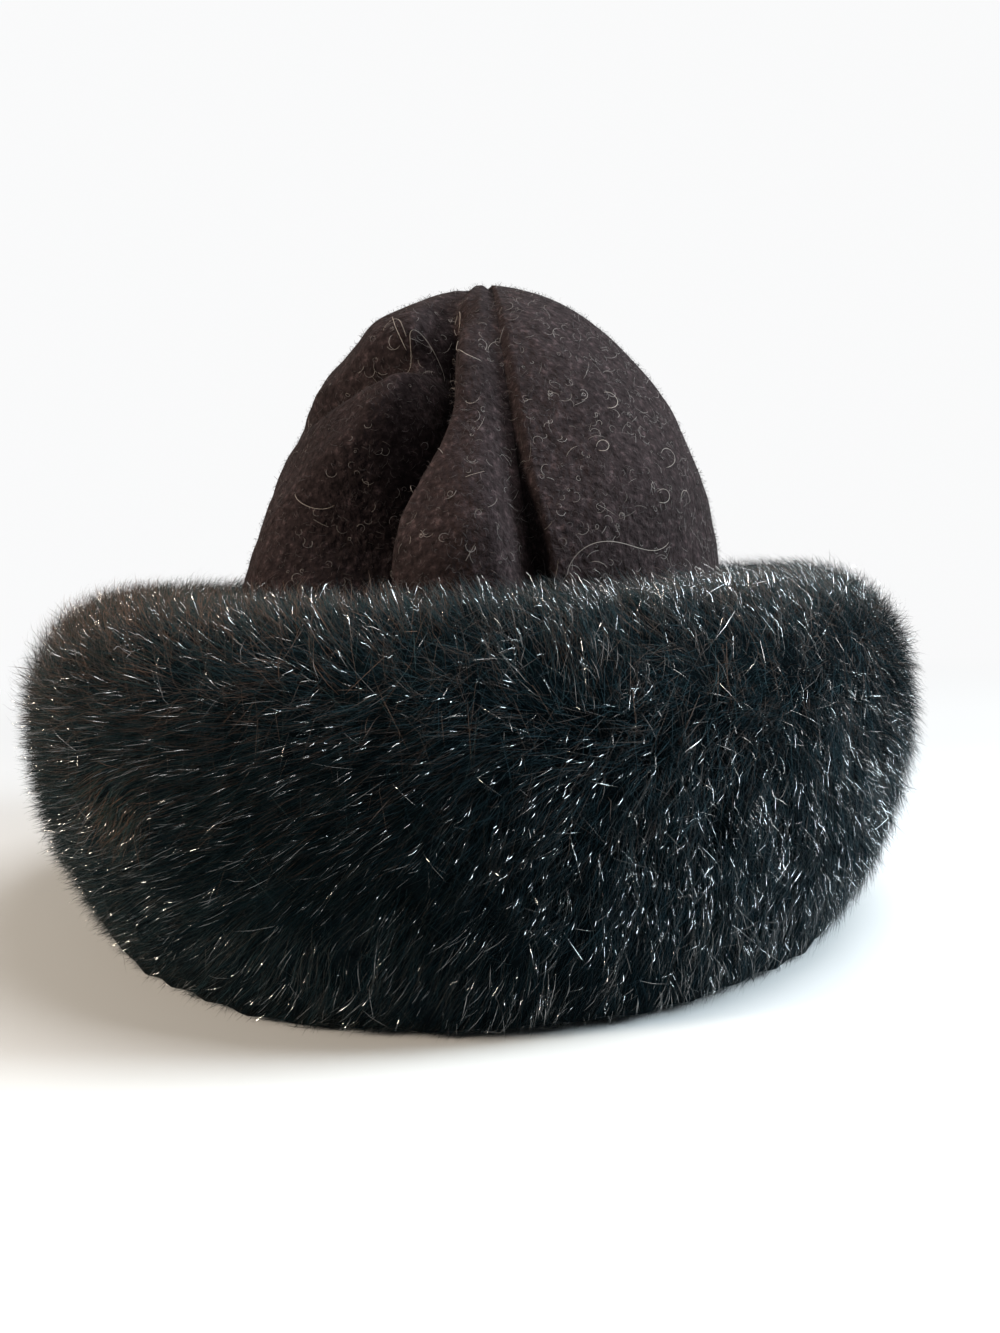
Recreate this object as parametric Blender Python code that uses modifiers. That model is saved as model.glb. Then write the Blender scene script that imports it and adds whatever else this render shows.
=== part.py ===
"""Faux fur hat: a soft wool crown sewn from four gores, inside a deep turned-up cuff of faux fur.

Metres, +Z up. The hat stands on its cuff at z = 0, its front faces -Y, and the origin is the middle of its
base. Angles go round the crown from the front: 0 is the front (-Y), 90 the side at +X, -90 the side at -X.
"""

import math
import random
from bisect import bisect_right
from collections import namedtuple

import bmesh
import bpy
from mathutils import Vector

MM = 0.001

# Driving sizes of the crown
CROWN_HALF_WIDTH = 85 * MM  # outside of the wool round the head, side to side
CROWN_HALF_DEPTH = 99 * MM  # outside of the wool round the head, front to back
CROWN_HEIGHT = 209 * MM  # lower edge to top
CROWN_LEAN = 9 * MM  # how far the soft top leans towards +X
WOOL_THICKNESS = 2.5 * MM
BAND_RISE = 3 * MM  # the wool's lower edge above the surface that the hat stands on
SEAM_GAP = 0.3 * MM  # between the edges of two gores
SEAM_DEPTH = 8 * MM  # how deep the seams are drawn in
DENT_DEPTH = 38 * MM  # the deep fold in the front
CREASE_DEPTH = 11 * MM  # the slanting crease over the left lobe
BULGE_HEIGHT = 6 * MM  # the fullest of the soft lobes

# Driving sizes of the fur cuff, measured at the tips of its locks
CUFF_HALF_WIDTH = 151 * MM
CUFF_HALF_DEPTH = 158 * MM
CUFF_HEIGHT = 113 * MM
CUFF_GAP = 0.7 * MM  # from the wool to the cuff's inner wall, before facets and seam gaps use some of it
FUR_RELIEF = 13 * MM  # how far the locks stand up from the backing
LOCK_LENGTH = 52 * MM
LOCK_WIDTH = 32 * MM
LOCK_THICKNESS = 11 * MM
LOCK_ROOT_DEPTH = 5 * MM  # how deep a lock's root is sunk in the backing
FLOOR_CLEARANCE = 1 * MM  # the lowest that a lock reaches

# How finely the surfaces are divided
PLAIN_GORE_COLUMNS = (1, 8, 2)  # fold of the first seam, plain wool, fold of the second
DENT_GORE_COLUMNS = (5, 7, 5, 6)  # side lobe, hollow of the dent, its wall, middle lobe
DENT_WALL_ANGLE = 7.0  # degrees that the dent's steep wall takes up
DENT_ROLL_ANGLE = 3.0  # degrees over which the middle lobe rolls into the wall
CUFF_COLUMNS = 48
LOCK_SIDES = 4

# The crown without its folds. Shares of CROWN_HEIGHT, CROWN_HALF_WIDTH, CROWN_HALF_DEPTH and CROWN_LEAN, and
# how many rows of the mesh each section is given.
Section = namedtuple("Section", "height width depth lean rows")
CROWN_SECTIONS = (
    Section(0.00, 1.00, 1.00, 0.00, 1),
    Section(0.13, 1.00, 1.00, 0.04, 1),
    Section(0.26, 1.00, 1.00, 0.12, 1),
    Section(0.39, 1.00, 1.00, 0.24, 2),
    Section(0.51, 0.985, 0.99, 0.44, 2),
    Section(0.60, 0.93, 0.95, 0.72, 2),
    Section(0.69, 0.85, 0.88, 0.86, 2),
    Section(0.78, 0.755, 0.79, 0.88, 3),
    Section(0.86, 0.62, 0.67, 0.90, 3),
    Section(0.93, 0.44, 0.50, 0.97, 2),
    Section(0.975, 0.24, 0.29, 1.05, 2),
    Section(1.00, 0.00, 0.00, 1.10, 0),
)

# The seams between the gores, in degrees at each height, and how deep they are drawn in, as a share of
# SEAM_DEPTH.
SeamRow = namedtuple("SeamRow", "height front right back left depth")
SEAM_ROWS = (
    SeamRow(0.00, 14.0, 104.0, 194.0, -76.0, 0.20),
    SeamRow(0.40, 14.0, 104.0, 194.0, -76.0, 0.35),
    SeamRow(0.51, 13.4, 103.0, 193.0, -77.0, 1.00),
    SeamRow(0.60, 10.6, 101.0, 191.0, -79.0, 0.95),
    SeamRow(0.67, 8.4, 99.0, 189.0, -81.0, 0.75),
    SeamRow(0.80, 7.0, 97.0, 187.0, -83.0, 0.40),
    SeamRow(0.92, 6.2, 96.2, 186.2, -83.8, 0.20),
    SeamRow(1.00, 6.0, 96.0, 186.0, -84.0, 0.20),
)
SEAM_NAMES = ("front", "right", "back", "left")

# How far a seam's fold reaches, in degrees before and after the seam, and its share of the depth above.
SeamReach = namedtuple("SeamReach", "before after share")
SEAM_REACH = {
    "front": SeamReach(10.0, 2.4, 1.0),
    "right": SeamReach(8.0, 8.0, 0.5),
    "back": SeamReach(8.0, 8.0, 0.5),
    "left": SeamReach(8.0, 8.0, 0.5),
}

# The deep fold beside the middle lobe. Its steep wall drops from the edge angle, and its hollow reaches back
# to the left. Edge and reach in degrees, depth as a share of DENT_DEPTH.
DentRow = namedtuple("DentRow", "height edge depth reach")
DENT_ROWS = (
    DentRow(0.00, -15.0, 0.00, 26.0),
    DentRow(0.26, -15.0, 0.04, 26.0),
    DentRow(0.39, -15.5, 0.42, 28.0),
    DentRow(0.51, -18.0, 0.95, 30.0),
    DentRow(0.60, -20.0, 1.00, 30.0),
    DentRow(0.65, -17.5, 1.00, 28.0),
    DentRow(0.73, -11.0, 0.90, 21.0),
    DentRow(0.80, -8.5, 0.72, 14.0),
    DentRow(0.86, -9.0, 0.50, 12.0),
    DentRow(0.91, -10.0, 0.30, 14.0),
    DentRow(0.96, -11.0, 0.10, 16.0),
    DentRow(1.00, -11.0, 0.00, 16.0),
)

# The slanting crease, from the top of the dent to the left side. Depth as a share of CREASE_DEPTH.
CreaseRow = namedtuple("CreaseRow", "angle height depth")
CREASE_ROWS = (
    CreaseRow(-84.0, 0.755, 0.0),
    CreaseRow(-70.0, 0.775, 0.25),
    CreaseRow(-56.0, 0.805, 0.8),
    CreaseRow(-42.0, 0.840, 1.0),
    CreaseRow(-28.0, 0.868, 1.0),
    CreaseRow(-14.0, 0.905, 0.55),
    CreaseRow(-2.0, 0.935, 0.0),
)
CREASE_REACH_UP = 0.035  # share of CROWN_HEIGHT, the steep side under the overhanging wool
CREASE_REACH_DOWN = 0.05

# The full, rounded places. Angle and its reach in degrees, height and its reach in shares of CROWN_HEIGHT.
Bulge = namedtuple("Bulge", "angle angle_reach height height_reach amount")
BULGES = (
    Bulge(-4.0, 17.0, 0.59, 0.19, 1.00),
    Bulge(-52.0, 24.0, 0.60, 0.19, 0.50),
    Bulge(-44.0, 34.0, 0.905, 0.07, 0.45),
    Bulge(46.0, 36.0, 0.66, 0.25, 0.60),
    Bulge(148.0, 44.0, 0.67, 0.26, 0.50),
    Bulge(236.0, 44.0, 0.67, 0.26, 0.50),
)

# The cuff's backing. Height as a share of CUFF_HEIGHT less the locks' relief, reach as a share of the way
# from the wool to the outermost tips, less the same relief, at the front and back and at the sides. The first
# row is the outer edge of the flat base.
CuffRow = namedtuple("CuffRow", "height reach side")
CUFF_ROWS = (
    CuffRow(0.00, 0.66, 0.50),
    CuffRow(0.10, 0.79, 0.66),
    CuffRow(0.33, 0.94, 0.88),
    CuffRow(0.62, 1.00, 1.00),
    CuffRow(0.84, 0.98, 0.97),
    CuffRow(0.96, 0.82, 0.80),
    CuffRow(1.00, 0.56, 0.54),
    CuffRow(0.96, 0.28, 0.27),
    CuffRow(0.88, 0.06, 0.06),
)
CUFF_WALL_HEIGHTS = (0.84, 0.56, 0.28, 0.00)  # rows of the inner wall, as shares like CuffRow.height

# The locks lie in rings. Place counts CUFF_ROWS from the base, and fall is how many rows the nap slants down.
LockRing = namedtuple("LockRing", "place count fall size")
LOCK_RINGS = (
    LockRing(1.1, 20, 0.35, 0.92),
    LockRing(2.0, 21, 0.35, 1.05),
    LockRing(3.0, 21, 0.15, 1.05),
    LockRing(4.1, 20, -0.35, 1.00),
    LockRing(5.2, 19, -0.60, 0.90),
    LockRing(6.5, 15, -0.30, 0.85),
)

# A lock from its root to its tip. Shares of its length, of its rise from root to relief, and of its width.
LockRow = namedtuple("LockRow", "along lift width")
LOCK_SHAPE = (
    LockRow(0.00, 0.00, 0.70),
    LockRow(0.38, 0.55, 1.00),
    LockRow(0.72, 0.85, 0.72),
    LockRow(1.00, 1.00, 0.00),
)

WOOL_COLOUR = (0.035, 0.027, 0.026, 1.0)
FUR_COLOUR = (0.012, 0.012, 0.012, 1.0)


def smooth(x):
    """0 at and below x = 0, 1 at and above x = 1, with no kink between."""
    x = min(1.0, max(0.0, x))
    return x * x * (3 - 2 * x)


def spline(rows, keys, column, at):
    """A table's column read at a key, on a curve that passes every row without overshooting it."""
    values = [getattr(row, column) for row in rows]
    if at <= keys[0]:
        return values[0]
    if at >= keys[-1]:
        return values[-1]
    i = bisect_right(keys, at) - 1
    steps = [(values[k + 1] - values[k]) / (keys[k + 1] - keys[k]) for k in range(len(keys) - 1)]

    def slope(k):
        if k in (0, len(steps)) or steps[k - 1] * steps[k] <= 0:
            return 0.0 if 0 < k < len(steps) else steps[min(k, len(steps) - 1)]
        return 2 * steps[k - 1] * steps[k] / (steps[k - 1] + steps[k])

    span = keys[i + 1] - keys[i]
    t = (at - keys[i]) / span
    return (
        values[i] * (1 + 2 * t) * (1 - t) ** 2
        + values[i + 1] * t * t * (3 - 2 * t)
        + span * slope(i) * t * (1 - t) ** 2
        - span * slope(i + 1) * t * t * (1 - t)
    )


def table_reader(rows, key):
    """A function of (column, key value) for a table whose rows are sorted by the key."""
    keys = [row[0] if key is None else getattr(row, key) for row in rows]
    return lambda column, at: spline(rows, keys, column, at)


seam_at = table_reader(SEAM_ROWS, "height")
dent_at = table_reader(DENT_ROWS, "height")
crease_at = table_reader(CREASE_ROWS, "angle")


def section_at(column, place):
    """A column of CROWN_SECTIONS at a place that counts its rows, so that the rows also space the mesh."""
    return spline(CROWN_SECTIONS, range(len(CROWN_SECTIONS)), column, place)


def plain_crown(angle, place):
    """The outside of the crown before any fold is pressed in."""
    turn = math.radians(angle)
    lean = CROWN_LEAN * section_at("lean", place)
    return Vector(
        (
            lean + CROWN_HALF_WIDTH * section_at("width", place) * math.sin(turn),
            -CROWN_HALF_DEPTH * section_at("depth", place) * math.cos(turn),
            BAND_RISE + CROWN_HEIGHT * section_at("height", place),
        )
    )


def crown_normal(angle, place):
    """The way out of the plain crown, straight up at its top."""
    top = len(CROWN_SECTIONS) - 1
    if place > top - 0.05:
        return Vector((0, 0, 1))
    step = 0.02
    round_it = plain_crown(angle + 1, place) - plain_crown(angle - 1, place)
    up_it = plain_crown(angle, min(top, place + step)) - plain_crown(angle, max(0, place - step))
    return round_it.cross(up_it).normalized()


def angle_from(angle, other):
    """The signed difference between two angles, from -180 to 180 degrees."""
    return (angle - other + 180) % 360 - 180


def seam_fold(angle, height):
    """How far the seams draw the wool in at this place."""
    drawn = 0.0
    for name in SEAM_NAMES:
        off = angle_from(angle, seam_at(name, height))
        fold = SEAM_REACH[name]
        reach = fold.before if off < 0 else fold.after
        drawn = max(drawn, fold.share * (1 - smooth(abs(off) / reach)))
    return SEAM_DEPTH * seam_at("depth", height) * drawn


def dent_fold(angle, height):
    """How far the deep fold is pressed in: steep under the middle lobe's edge, easing out to the left."""
    behind = dent_at("edge", height) + DENT_ROLL_ANGLE - angle_from(angle, 0)
    wall = DENT_WALL_ANGLE + DENT_ROLL_ANGLE
    hollow = dent_at("reach", height)
    pressed = smooth(behind / wall) * (1 - smooth((behind - wall) / hollow))
    return DENT_DEPTH * dent_at("depth", height) * pressed


def crease_fold(angle, height):
    """How far the slanting crease is pressed in."""
    off = angle_from(angle, 0)
    if not CREASE_ROWS[0].angle < off < CREASE_ROWS[-1].angle:
        return 0.0
    above = height - crease_at("height", off)
    reach = CREASE_REACH_UP if above > 0 else CREASE_REACH_DOWN
    return CREASE_DEPTH * crease_at("depth", off) * (1 - smooth(abs(above) / reach))


def bulge_rise(angle, height):
    """How far the soft lobes stand out."""
    rise = 0.0
    for bulge in BULGES:
        across = abs(angle_from(angle, bulge.angle)) / bulge.angle_reach
        along = abs(height - bulge.height) / bulge.height_reach
        rise += bulge.amount * (1 - smooth(across)) * (1 - smooth(along))
    return BULGE_HEIGHT * rise


def crown_point(angle, place):
    """The outside of the finished crown, with its folds, seams and lobes."""
    height = section_at("height", place)
    out = bulge_rise(angle, height) - max(seam_fold(angle, height), dent_fold(angle, height))
    out -= crease_fold(angle, height)
    return plain_crown(angle, place) + crown_normal(angle, place) * out


def even_angles(guides, counts):
    """Angles that divide each stretch between two guide angles into its count of columns."""
    angles = [guides[0]]
    for start, end, count in zip(guides, guides[1:], counts):
        angles += [start + (end - start) * (k + 1) / count for k in range(count)]
    return angles


def dent_gore_angles(height):
    """Columns of the front left gore, which follow the dent so that its edge stays sharp."""
    edge = dent_at("edge", height) + DENT_ROLL_ANGLE
    wall = edge - DENT_WALL_ANGLE - DENT_ROLL_ANGLE
    guides = (seam_at("left", height), wall - dent_at("reach", height), wall, edge, seam_at("front", height))
    return even_angles(guides, DENT_GORE_COLUMNS)


def plain_gore_angles(height, first, second):
    """Columns of a gore without a dent, from one seam to the next, with one where each seam's fold begins."""
    start = seam_at(first, height)
    end = start + angle_from(seam_at(second, height), start) % 360
    guides = (start, start + SEAM_REACH[first].after, end - SEAM_REACH[second].before, end)
    return even_angles(guides, PLAIN_GORE_COLUMNS)


def material(name, colour, roughness):
    """A Principled material."""
    made = bpy.data.materials.new(name)
    made.use_nodes = True
    shader = made.node_tree.nodes["Principled BSDF"]
    shader.inputs["Base Color"].default_value = colour
    shader.inputs["Roughness"].default_value = roughness
    shader.inputs["Metallic"].default_value = 0.0
    return made


def new_object(name, mesh, collection, finish):
    """A smooth-shaded object for a mesh, in a collection, with its material."""
    mesh.materials.append(finish)
    mesh.shade_smooth()
    made = bpy.data.objects.new(name, mesh)
    collection.objects.link(made)
    return made


def mesh_from(shape, name):
    """A mesh from a bmesh, with its normals made to agree."""
    bmesh.ops.recalc_face_normals(shape, faces=shape.faces)
    mesh = bpy.data.meshes.new(name)
    shape.to_mesh(mesh)
    shape.free()
    return mesh


def skin(shape, rows, closed):
    """Joins neighbouring rows of vertices with quads. Closed rows run round to their own start."""
    for low, high in zip(rows, rows[1:]):
        for k in range(len(low) if closed else len(low) - 1):
            after = (k + 1) % len(low)
            shape.faces.new((low[k], low[after], high[after], high[k]))


def make_gore(name, angles_at, collection, finish):
    """One gore of the crown: an open sheet between two seams, thickened inwards to the wool's thickness."""
    places = []
    for number, section in enumerate(CROWN_SECTIONS):
        places += [number + k / section.rows for k in range(section.rows)]
    middle = angles_at(0.0)
    bisector = math.radians((middle[0] + middle[-1]) / 2)
    # Moving a quarter gore out along its middle opens the same gap at both seams.
    step_out = SEAM_GAP / 2 / math.sin(math.radians((middle[-1] - middle[0]) / 2))
    opened = Vector((math.sin(bisector), -math.cos(bisector), 0)) * step_out
    shape = bmesh.new()
    rows = []
    for place in places:
        angles = angles_at(section_at("height", place))
        rows.append([shape.verts.new(crown_point(angle, place) + opened) for angle in angles])
    skin(shape, rows, closed=False)
    top = shape.verts.new(crown_point(seam_at("front", 1.0), len(CROWN_SECTIONS) - 1) + opened)
    for left, right in zip(rows[-1], rows[-1][1:]):
        shape.faces.new((left, right, top))
    bmesh.ops.recalc_face_normals(shape, faces=shape.faces)
    if sum((face.normal.dot(face.calc_center_median() - Vector((0, 0, 0.08))) for face in shape.faces)) < 0:
        bmesh.ops.reverse_faces(shape, faces=shape.faces)
    mesh = bpy.data.meshes.new(name)
    shape.to_mesh(mesh)
    shape.free()
    gore = new_object(name, mesh, collection, finish)
    wall = gore.modifiers.new("wool", "SOLIDIFY")
    wall.thickness = WOOL_THICKNESS
    wall.offset = -1
    return gore


def wool_wall(angle, z):
    """The plain outside of the crown at a height, moved out by the gap to the cuff."""
    low, high = 0.0, len(CROWN_SECTIONS) - 1.0
    for _ in range(30):
        place = (low + high) / 2
        if plain_crown(angle, place).z < z:
            low = place
        else:
            high = place
    out = crown_normal(angle, low)
    point = plain_crown(angle, low) + Vector((out.x, out.y, 0)).normalized() * CUFF_GAP
    point.z = z
    return point


def backing_point(angle, row_height, reach, side):
    """A point of the cuff's backing, from the wool at reach 0 to the backing's outermost line at reach 1."""
    turn = math.radians(angle)
    z = (CUFF_HEIGHT - FUR_RELIEF) * row_height
    inner = wool_wall(angle, z)
    outer = Vector(
        (
            (CUFF_HALF_WIDTH - FUR_RELIEF) * math.sin(turn),
            -(CUFF_HALF_DEPTH - FUR_RELIEF) * math.cos(turn),
            z,
        )
    )
    return inner.lerp(outer, reach + (side - reach) * math.sin(turn) ** 2)


def cuff_point(angle, place):
    """The backing's outer surface at a place that counts CUFF_ROWS."""
    keys = range(len(CUFF_ROWS))
    return backing_point(angle, *(spline(CUFF_ROWS, keys, column, place) for column in CuffRow._fields))


def make_backing(collection, finish):
    """The cuff's backing: a closed ring lofted through its outer rows and the wall against the wool."""
    angles = [360 * k / CUFF_COLUMNS for k in range(CUFF_COLUMNS)]
    profile = [*CUFF_ROWS, *(CuffRow(height, 0.0, 0.0) for height in CUFF_WALL_HEIGHTS)]
    shape = bmesh.new()
    rows = [[shape.verts.new(backing_point(angle, *row)) for angle in angles] for row in profile]
    skin(shape, rows + rows[:1], closed=True)
    return new_object("fur_cuff", mesh_from(shape, "fur_cuff"), collection, finish)


def nap_frame(angle, place):
    """The backing's surface at a place: the point, the way the nap runs round, the way up and the way out."""
    point = cuff_point(angle, place)
    round_it = (cuff_point(angle - 1, place) - point).normalized()
    up_it = (cuff_point(angle, place + 0.05) - cuff_point(angle, place - 0.05)).normalized()
    return point, round_it, up_it, up_it.cross(round_it).normalized()


def add_lock(shape, angle, place, fall, size):
    """One lock of fur: a flat horn that follows the cuff round, sunk at its root and lifting to its tip."""
    turn_of_lock = math.degrees(LOCK_LENGTH * size / CUFF_HALF_WIDTH)
    rings = []
    for row in LOCK_SHAPE:
        at = place - fall * row.along
        at = min(max(at, 0.1), len(CUFF_ROWS) - 1.1)
        point, round_it, up_it, out = nap_frame(angle - turn_of_lock * row.along, at)
        along = (round_it - up_it * fall * 0.5).normalized()
        across = out.cross(along)
        lift = -LOCK_ROOT_DEPTH + (FUR_RELIEF + LOCK_ROOT_DEPTH) * row.lift
        ring = []
        for k in range(LOCK_SIDES if row.width > 0 else 1):
            turn = 2 * math.pi * (k + 0.25) / LOCK_SIDES
            corner = (
                point
                + across * (LOCK_WIDTH / 2 * size * row.width * math.cos(turn))
                + out * (lift + LOCK_THICKNESS / 2 * size * row.width * math.sin(turn))
            )
            corner.z = max(corner.z, FLOOR_CLEARANCE)
            ring.append(shape.verts.new(corner))
        rings.append(ring)
    skin(shape, rings[:-1], closed=True)
    shape.faces.new(reversed(rings[0]))
    for k in range(LOCK_SIDES):
        shape.faces.new((rings[-2][k], rings[-2][(k + 1) % LOCK_SIDES], rings[-1][0]))


def make_locks(collection, finish):
    """All the locks, in rings round the cuff. The nap runs round the hat, clockwise as seen from above."""
    spread = random.Random(11)
    shape = bmesh.new()
    for number, ring in enumerate(LOCK_RINGS):
        for k in range(ring.count):
            angle = 360 * (k + 0.5 * (number % 2) + spread.uniform(-0.12, 0.12)) / ring.count
            place = ring.place + spread.uniform(-0.08, 0.08)
            fall = ring.fall + spread.uniform(-0.15, 0.15)
            add_lock(shape, angle, place, fall, ring.size * spread.uniform(0.9, 1.1))
    locks = new_object("fur_locks", mesh_from(shape, "fur_locks"), collection, finish)
    locks.hide_render = True
    locks.display_type = "WIRE"
    return locks


def main():
    for leftover in list(bpy.data.objects):
        bpy.data.objects.remove(leftover)
    hat = bpy.data.collections.new("faux_fur_hat")
    helpers = bpy.data.collections.new("helpers")
    bpy.context.scene.collection.children.link(hat)
    bpy.context.scene.collection.children.link(helpers)
    wool = material("wool", WOOL_COLOUR, 0.95)
    fur = material("fur", FUR_COLOUR, 0.6)

    make_gore("gore_front_left", dent_gore_angles, hat, wool)
    for name, first, second in (
        ("gore_front_right", "front", "right"),
        ("gore_back_right", "right", "back"),
        ("gore_back_left", "back", "left"),
    ):
        make_gore(name, lambda height, a=first, b=second: plain_gore_angles(height, a, b), hat, wool)

    cuff = make_backing(hat, fur)
    locks = make_locks(helpers, fur)
    fused = cuff.modifiers.new("locks", "BOOLEAN")
    fused.operation = "UNION"
    fused.solver = "EXACT"
    fused.use_self = True
    fused.object = locks


main()
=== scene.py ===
"""Looks of the faux fur hat: felted wool gores with fuzz and lint, and a cuff of long glossy pile.

Metres, in the frame of the CAD. Angles go round the crown from the front (-Y), with 90 degrees at +X.
"""

import math
from collections import namedtuple

import bpy
import numpy as np
from mathutils import Matrix, Vector


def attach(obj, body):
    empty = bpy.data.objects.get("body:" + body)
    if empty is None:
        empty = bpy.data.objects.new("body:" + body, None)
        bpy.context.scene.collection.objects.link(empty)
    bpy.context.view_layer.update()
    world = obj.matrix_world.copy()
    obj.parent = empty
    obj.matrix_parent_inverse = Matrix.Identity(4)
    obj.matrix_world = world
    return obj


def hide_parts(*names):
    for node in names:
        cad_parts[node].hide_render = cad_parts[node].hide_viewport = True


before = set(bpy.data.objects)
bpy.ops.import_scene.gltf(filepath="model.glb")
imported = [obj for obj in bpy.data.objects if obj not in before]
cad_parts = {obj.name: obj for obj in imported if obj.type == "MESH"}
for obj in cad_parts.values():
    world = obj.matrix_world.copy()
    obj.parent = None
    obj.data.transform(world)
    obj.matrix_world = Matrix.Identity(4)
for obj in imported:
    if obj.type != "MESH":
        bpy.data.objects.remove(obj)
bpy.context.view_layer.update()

MM = 0.001
UP = np.array((0.0, 0.0, 1.0))

# The crown's sizes and tables are the ones of the CAD, so the wool lies where its solids are.
CROWN_HALF_WIDTH = 85 * MM
CROWN_HALF_DEPTH = 99 * MM
CROWN_HEIGHT = 209 * MM
CROWN_LEAN = 9 * MM
WOOL_THICKNESS = 2.5 * MM
BAND_RISE = 3 * MM
SEAM_DEPTH = 8 * MM
DENT_DEPTH = 38 * MM
CREASE_DEPTH = 11 * MM
BULGE_HEIGHT = 6 * MM
DENT_WALL_ANGLE = 7.0
DENT_ROLL_ANGLE = 3.0
CREASE_REACH_UP = 0.035
CREASE_REACH_DOWN = 0.05

# The crown without its folds. Shares of CROWN_HEIGHT, CROWN_HALF_WIDTH, CROWN_HALF_DEPTH and CROWN_LEAN.
Section = namedtuple("Section", "height width depth lean")
CROWN_SECTIONS = (
    Section(0.00, 1.00, 1.00, 0.00),
    Section(0.13, 1.00, 1.00, 0.04),
    Section(0.26, 1.00, 1.00, 0.12),
    Section(0.39, 1.00, 1.00, 0.24),
    Section(0.51, 0.985, 0.99, 0.44),
    Section(0.60, 0.93, 0.95, 0.72),
    Section(0.69, 0.85, 0.88, 0.86),
    Section(0.78, 0.755, 0.79, 0.88),
    Section(0.86, 0.62, 0.67, 0.90),
    Section(0.93, 0.44, 0.50, 0.97),
    Section(0.975, 0.24, 0.29, 1.05),
    Section(1.00, 0.00, 0.00, 1.10),
)

# The seams, in degrees at each height, and their depth as a share of SEAM_DEPTH.
SeamRow = namedtuple("SeamRow", "height front right back left depth")
SEAM_ROWS = (
    SeamRow(0.00, 14.0, 104.0, 194.0, -76.0, 0.20),
    SeamRow(0.40, 14.0, 104.0, 194.0, -76.0, 0.35),
    SeamRow(0.51, 13.4, 103.0, 193.0, -77.0, 1.00),
    SeamRow(0.60, 10.6, 101.0, 191.0, -79.0, 0.95),
    SeamRow(0.67, 8.4, 99.0, 189.0, -81.0, 0.75),
    SeamRow(0.80, 7.0, 97.0, 187.0, -83.0, 0.40),
    SeamRow(0.92, 6.2, 96.2, 186.2, -83.8, 0.20),
    SeamRow(1.00, 6.0, 96.0, 186.0, -84.0, 0.20),
)
SeamReach = namedtuple("SeamReach", "before after share")
SEAM_REACH = {
    "front": SeamReach(10.0, 2.4, 1.0),
    "right": SeamReach(8.0, 8.0, 0.5),
    "back": SeamReach(8.0, 8.0, 0.5),
    "left": SeamReach(8.0, 8.0, 0.5),
}

# The deep fold beside the middle lobe. Edge and reach in degrees, depth as a share of DENT_DEPTH.
DentRow = namedtuple("DentRow", "height edge depth reach")
DENT_ROWS = (
    DentRow(0.00, -15.0, 0.00, 26.0),
    DentRow(0.26, -15.0, 0.04, 26.0),
    DentRow(0.39, -15.5, 0.42, 28.0),
    DentRow(0.51, -18.0, 0.95, 30.0),
    DentRow(0.60, -20.0, 1.00, 30.0),
    DentRow(0.65, -17.5, 1.00, 28.0),
    DentRow(0.73, -11.0, 0.90, 21.0),
    DentRow(0.80, -8.5, 0.72, 14.0),
    DentRow(0.86, -9.0, 0.50, 12.0),
    DentRow(0.91, -10.0, 0.30, 14.0),
    DentRow(0.96, -11.0, 0.10, 16.0),
    DentRow(1.00, -11.0, 0.00, 16.0),
)

# The slanting crease. Depth as a share of CREASE_DEPTH.
CreaseRow = namedtuple("CreaseRow", "angle height depth")
CREASE_ROWS = (
    CreaseRow(-84.0, 0.755, 0.0),
    CreaseRow(-70.0, 0.775, 0.25),
    CreaseRow(-56.0, 0.805, 0.8),
    CreaseRow(-42.0, 0.840, 1.0),
    CreaseRow(-28.0, 0.868, 1.0),
    CreaseRow(-14.0, 0.905, 0.55),
    CreaseRow(-2.0, 0.935, 0.0),
)

# The full, rounded places. Angles in degrees, heights in shares of CROWN_HEIGHT.
Bulge = namedtuple("Bulge", "angle angle_reach height height_reach amount")
BULGES = (
    Bulge(-4.0, 17.0, 0.59, 0.19, 1.00),
    Bulge(-52.0, 24.0, 0.60, 0.19, 0.50),
    Bulge(-44.0, 34.0, 0.905, 0.07, 0.45),
    Bulge(46.0, 36.0, 0.66, 0.25, 0.60),
    Bulge(148.0, 44.0, 0.67, 0.26, 0.50),
    Bulge(236.0, 44.0, 0.67, 0.26, 0.50),
)

GORES = (
    ("gore_front_left", "left", "front"),
    ("gore_front_right", "front", "right"),
    ("gore_back_right", "right", "back"),
    ("gore_back_left", "back", "left"),
)
GORE_ROWS_PER_SECTION = 9
GORE_COLUMNS = 64
WOBBLE = 0.7 * MM  # the wool's soft unevenness

# The cuff, as in the CAD.
CUFF_HALF_WIDTH = 151 * MM
CUFF_HALF_DEPTH = 158 * MM
CUFF_HEIGHT = 113 * MM
CUFF_GAP = 0.7 * MM
FUR_RELIEF = 13 * MM
CuffRow = namedtuple("CuffRow", "height reach side")
CUFF_ROWS = (
    CuffRow(0.00, 0.66, 0.50),
    CuffRow(0.10, 0.79, 0.66),
    CuffRow(0.33, 0.94, 0.88),
    CuffRow(0.62, 1.00, 1.00),
    CuffRow(0.84, 0.98, 0.97),
    CuffRow(0.96, 0.82, 0.80),
    CuffRow(1.00, 0.56, 0.54),
    CuffRow(0.96, 0.28, 0.27),
    CuffRow(0.88, 0.06, 0.06),
)
CUFF_WALL_HEIGHTS = (0.84, 0.56, 0.28, 0.00)
CUFF_PROFILE = 141 * MM  # length of the pile's side of the profile, base to wool

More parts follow.
